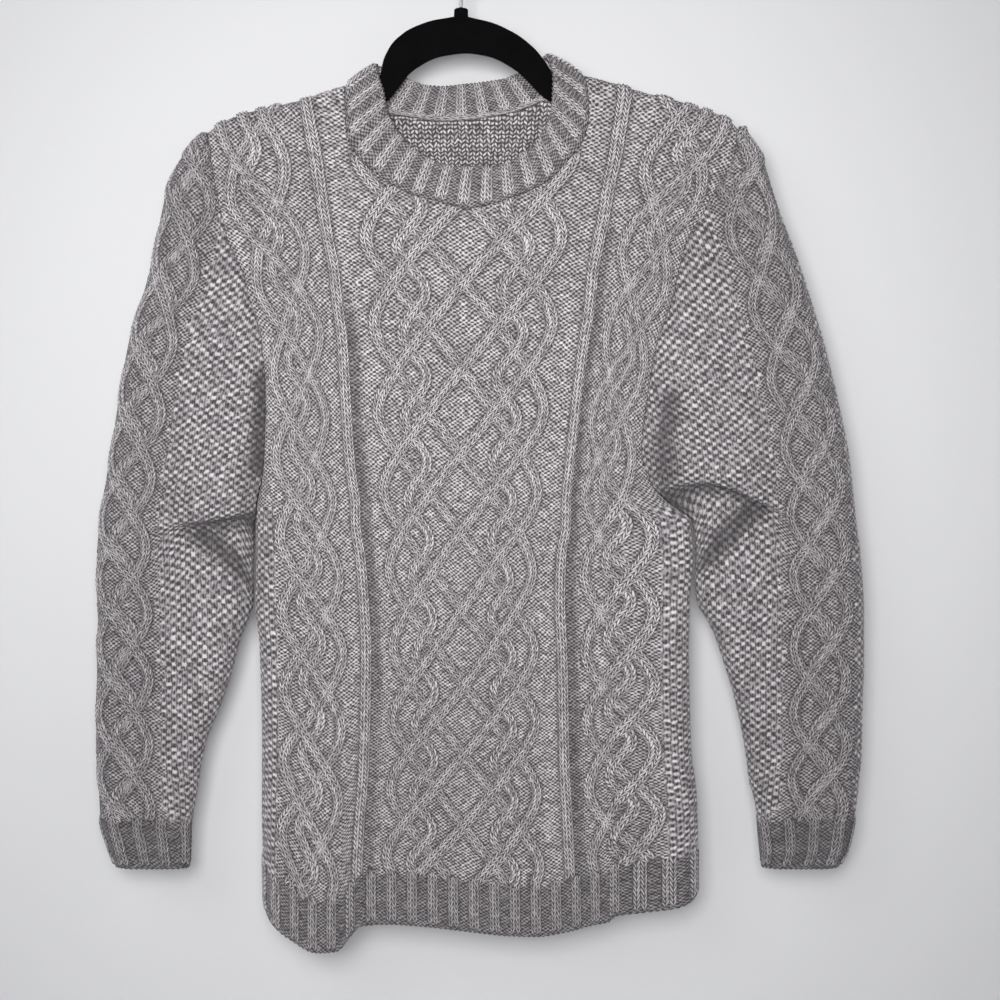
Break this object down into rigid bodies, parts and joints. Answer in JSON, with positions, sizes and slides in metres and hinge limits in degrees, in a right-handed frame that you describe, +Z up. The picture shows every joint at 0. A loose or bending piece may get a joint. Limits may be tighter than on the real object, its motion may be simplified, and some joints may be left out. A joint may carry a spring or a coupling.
{
  "type": "cable knit sweater on a hanger",
  "caption": "Cable knit crew-neck sweater with long sleeves and ribbed neck, cuffs and hem, hung on a slim arched hanger with a wire hook.",
  "frame": {"origin": "inside the top of the hanger's hook, where a rail carries it", "axes": "+Z up, the front of the sweater faces -Y, +X towards the wearer's left sleeve"},
  "size_m": [0.69, 0.0693, 0.9141],
  "materials": {
    "grey_yarn": "matt heather grey wool, hand knitted",
    "black_flock": "black flocked plastic",
    "bright_wire": "bright plated steel wire"
  },
  "bodies": {
    "root": {"front": "grey_yarn", "back": "grey_yarn", "sleeve_right": "grey_yarn", "sleeve_left": "grey_yarn", "neckband": "grey_yarn", "hanger": "black_flock", "hook": "bright_wire"}
  },
  "joints": []
}
